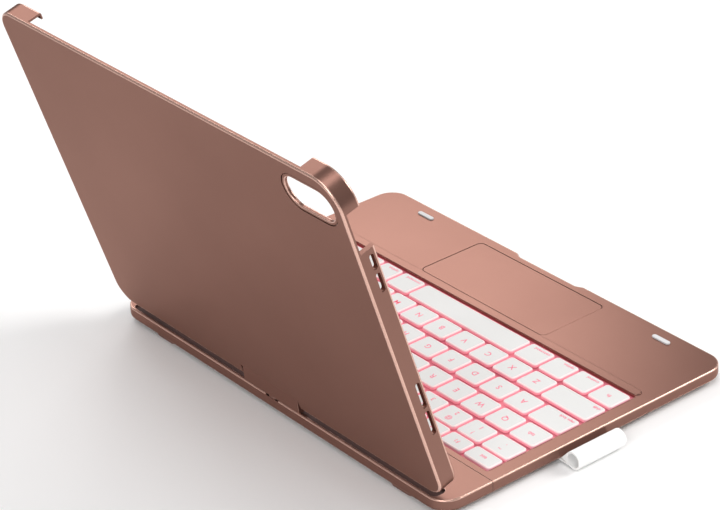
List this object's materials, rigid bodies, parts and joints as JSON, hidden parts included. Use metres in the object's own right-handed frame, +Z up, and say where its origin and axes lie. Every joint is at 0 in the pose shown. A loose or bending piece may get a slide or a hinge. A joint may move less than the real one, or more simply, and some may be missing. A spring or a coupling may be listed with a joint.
{
  "type": "tablet keyboard case",
  "caption": "Rose-gold tablet keyboard case: low-profile keyboard base with trackpad, and a tray shell for the tablet on a centre hinge that swivels and tilts.",
  "frame": {"origin": "on the ground, under the middle of the bounding box of the open case, pencil loop included", "axes": "+X to the user's right, +Y to the hinge side (away from the user), +Z up"},
  "size_m": [0.266, 0.2332, 0.1909],
  "materials": {
    "rose_gold": "satin metallic rose-gold paint with fine sparkle",
    "trackpad_glass": "smooth satin film, slightly glossier than the deck",
    "keycap": "white satin caps with pink legends",
    "backlight_glow": "pink backlit diffuser",
    "circuit_board": "green solder mask",
    "battery_foil": "foil pouch",
    "steel": "plain",
    "dark_plastic": "matt",
    "grey_rubber": "translucent light grey",
    "white_band": "soft white, faint weave"
  },
  "bodies": {
    "base": {"backlight_sheet": "backlight_glow", "battery_left": "battery_foil", "battery_right": "battery_foil", "bottom_cover": "rose_gold", "foot_front_left": "rose_gold", "foot_front_right": "rose_gold", "foot_rear_left": "rose_gold", "foot_rear_right": "rose_gold", "hinge_bracket": "steel", "key_plate": "backlight_glow", "main_board": "circuit_board", "pencil_loop": "white_band", "rear_cover": "rose_gold", "screen_pad_left": "grey_rubber", "screen_pad_right": "grey_rubber", "top_cover": "rose_gold", "trackpad_board": "circuit_board", "usb_c_socket": "steel"},
    "trackpad": {"trackpad": "trackpad_glass"},
    "power_switch": {"power_switch": "dark_plastic"},
    "hinge_block": {"hinge_block": "rose_gold", "swivel_post": "steel", "tilt_shaft": "steel"},
    "tablet_shell": {"tablet_shell": "rose_gold", "camera_ring": "rose_gold"},
    "key_1": {"key_1": "keycap"},
    "key_2": {"key_2": "keycap"},
    "key_3": {"key_3": "keycap"},
    "key_a": {"key_a": "keycap"},
    "key_b": {"key_b": "keycap"},
    "key_c": {"key_c": "keycap"},
    "key_caps_lock": {"key_caps_lock": "keycap"},
    "key_command": {"key_command": "keycap"},
    "key_command_right": {"key_command_right": "keycap"},
    "key_control": {"key_control": "keycap"},
    "key_d": {"key_d": "keycap"},
    "key_e": {"key_e": "keycap"},
    "key_escape": {"key_escape": "keycap"},
    "key_f": {"key_f": "keycap"},
    "key_f1": {"key_f1": "keycap"},
    "key_g": {"key_g": "keycap"},
    "key_globe": {"key_globe": "keycap"},
    "key_grave": {"key_grave": "keycap"},
    "key_option": {"key_option": "keycap"},
    "key_q": {"key_q": "keycap"},
    "key_r": {"key_r": "keycap"},
    "key_s": {"key_s": "keycap"},
    "key_shift": {"key_shift": "keycap"},
    "key_space": {"key_space": "keycap"},
    "key_tab": {"key_tab": "keycap"},
    "key_v": {"key_v": "keycap"},
    "key_w": {"key_w": "keycap"},
    "key_x": {"key_x": "keycap"},
    "key_z": {"key_z": "keycap"},
    "keys_bottom_row_right": {"keys_bottom_row_right": "keycap"},
    "keys_function_row_right": {"keys_function_row_right": "keycap"},
    "keys_home_row_right": {"keys_home_row_right": "keycap"},
    "keys_number_row_right": {"keys_number_row_right": "keycap"},
    "keys_shift_row_right": {"keys_shift_row_right": "keycap"},
    "keys_tab_row_right": {"keys_tab_row_right": "keycap"}
  },
  "joints": [
    {"name": "shell_swivel", "type": "hinge", "parent": "base", "child": "hinge_block", "pos_m": [0.00595, 0.05876, 0.0094], "axis": [0, 0, 1], "range_deg": [0, 180]},
    {"name": "shell_tilt", "type": "hinge", "parent": "hinge_block", "child": "tablet_shell", "pos_m": [0.00595, 0.06035, 0.01619], "axis": [1, 0, 0], "range_deg": [-3, 106.8]},
    {"name": "trackpad_click", "type": "slide", "parent": "base", "child": "trackpad", "axis": [0, 0, 1], "range_m": [-0.0003, 0], "stiffness_N_per_m": 3000},
    {"name": "power_switch_slide", "type": "slide", "parent": "base", "child": "power_switch", "axis": [0, 1, 0], "range_m": [0, 0.003]},
    {"name": "key_1_press", "type": "slide", "parent": "base", "child": "key_1", "axis": [0, 0, 1], "range_m": [-0.001, 0], "stiffness_N_per_m": 500},
    {"name": "key_2_press", "type": "slide", "parent": "base", "child": "key_2", "axis": [0, 0, 1], "range_m": [-0.001, 0], "stiffness_N_per_m": 500},
    {"name": "key_3_press", "type": "slide", "parent": "base", "child": "key_3", "axis": [0, 0, 1], "range_m": [-0.001, 0], "stiffness_N_per_m": 500},
    {"name": "key_a_press", "type": "slide", "parent": "base", "child": "key_a", "axis": [0, 0, 1], "range_m": [-0.001, 0], "stiffness_N_per_m": 500},
    {"name": "key_b_press", "type": "slide", "parent": "base", "child": "key_b", "axis": [0, 0, 1], "range_m": [-0.001, 0], "stiffness_N_per_m": 500},
    {"name": "key_c_press", "type": "slide", "parent": "base", "child": "key_c", "axis": [0, 0, 1], "range_m": [-0.001, 0], "stiffness_N_per_m": 500},
    {"name": "key_caps_lock_press", "type": "slide", "parent": "base", "child": "key_caps_lock", "axis": [0, 0, 1], "range_m": [-0.001, 0], "stiffness_N_per_m": 500},
    {"name": "key_command_press", "type": "slide", "parent": "base", "child": "key_command", "axis": [0, 0, 1], "range_m": [-0.001, 0], "stiffness_N_per_m": 500},
    {"name": "key_command_right_press", "type": "slide", "parent": "base", "child": "key_command_right", "axis": [0, 0, 1], "range_m": [-0.001, 0], "stiffness_N_per_m": 500},
    {"name": "key_control_press", "type": "slide", "parent": "base", "child": "key_control", "axis": [0, 0, 1], "range_m": [-0.001, 0], "stiffness_N_per_m": 500},
    {"name": "key_d_press", "type": "slide", "parent": "base", "child": "key_d", "axis": [0, 0, 1], "range_m": [-0.001, 0], "stiffness_N_per_m": 500},
    {"name": "key_e_press", "type": "slide", "parent": "base", "child": "key_e", "axis": [0, 0, 1], "range_m": [-0.001, 0], "stiffness_N_per_m": 500},
    {"name": "key_escape_press", "type": "slide", "parent": "base", "child": "key_escape", "axis": [0, 0, 1], "range_m": [-0.001, 0], "stiffness_N_per_m": 500},
    {"name": "key_f_press", "type": "slide", "parent": "base", "child": "key_f", "axis": [0, 0, 1], "range_m": [-0.001, 0], "stiffness_N_per_m": 500},
    {"name": "key_f1_press", "type": "slide", "parent": "base", "child": "key_f1", "axis": [0, 0, 1], "range_m": [-0.001, 0], "stiffness_N_per_m": 500},
    {"name": "key_g_press", "type": "slide", "parent": "base", "child": "key_g", "axis": [0, 0, 1], "range_m": [-0.001, 0], "stiffness_N_per_m": 500},
    {"name": "key_globe_press", "type": "slide", "parent": "base", "child": "key_globe", "axis": [0, 0, 1], "range_m": [-0.001, 0], "stiffness_N_per_m": 500},
    {"name": "key_grave_press", "type": "slide", "parent": "base", "child": "key_grave", "axis": [0, 0, 1], "range_m": [-0.001, 0], "stiffness_N_per_m": 500},
    {"name": "key_option_press", "type": "slide", "parent": "base", "child": "key_option", "axis": [0, 0, 1], "range_m": [-0.001, 0], "stiffness_N_per_m": 500},
    {"name": "key_q_press", "type": "slide", "parent": "base", "child": "key_q", "axis": [0, 0, 1], "range_m": [-0.001, 0], "stiffness_N_per_m": 500},
    {"name": "key_r_press", "type": "slide", "parent": "base", "child": "key_r", "axis": [0, 0, 1], "range_m": [-0.001, 0], "stiffness_N_per_m": 500},
    {"name": "key_s_press", "type": "slide", "parent": "base", "child": "key_s", "axis": [0, 0, 1], "range_m": [-0.001, 0], "stiffness_N_per_m": 500},
    {"name": "key_shift_press", "type": "slide", "parent": "base", "child": "key_shift", "axis": [0, 0, 1], "range_m": [-0.001, 0], "stiffness_N_per_m": 500},
    {"name": "key_space_press", "type": "slide", "parent": "base", "child": "key_space", "axis": [0, 0, 1], "range_m": [-0.001, 0], "stiffness_N_per_m": 500},
    {"name": "key_tab_press", "type": "slide", "parent": "base", "child": "key_tab", "axis": [0, 0, 1], "range_m": [-0.001, 0], "stiffness_N_per_m": 500},
    {"name": "key_v_press", "type": "slide", "parent": "base", "child": "key_v", "axis": [0, 0, 1], "range_m": [-0.001, 0], "stiffness_N_per_m": 500},
    {"name": "key_w_press", "type": "slide", "parent": "base", "child": "key_w", "axis": [0, 0, 1], "range_m": [-0.001, 0], "stiffness_N_per_m": 500},
    {"name": "key_x_press", "type": "slide", "parent": "base", "child": "key_x", "axis": [0, 0, 1], "range_m": [-0.001, 0], "stiffness_N_per_m": 500},
    {"name": "key_z_press", "type": "slide", "parent": "base", "child": "key_z", "axis": [0, 0, 1], "range_m": [-0.001, 0], "stiffness_N_per_m": 500},
    {"name": "keys_bottom_row_right_press", "type": "slide", "parent": "base", "child": "keys_bottom_row_right", "axis": [0, 0, 1], "range_m": [-0.001, 0], "stiffness_N_per_m": 1500},
    {"name": "keys_function_row_right_press", "type": "slide", "parent": "base", "child": "keys_function_row_right", "axis": [0, 0, 1], "range_m": [-0.001, 0], "stiffness_N_per_m": 1500},
    {"name": "keys_home_row_right_press", "type": "slide", "parent": "base", "child": "keys_home_row_right", "axis": [0, 0, 1], "range_m": [-0.001, 0], "stiffness_N_per_m": 1500},
    {"name": "keys_number_row_right_press", "type": "slide", "parent": "base", "child": "keys_number_row_right", "axis": [0, 0, 1], "range_m": [-0.001, 0], "stiffness_N_per_m": 1500},
    {"name": "keys_shift_row_right_press", "type": "slide", "parent": "base", "child": "keys_shift_row_right", "axis": [0, 0, 1], "range_m": [-0.001, 0], "stiffness_N_per_m": 1500},
    {"name": "keys_tab_row_right_press", "type": "slide", "parent": "base", "child": "keys_tab_row_right", "axis": [0, 0, 1], "range_m": [-0.001, 0], "stiffness_N_per_m": 1500}
  ]
}
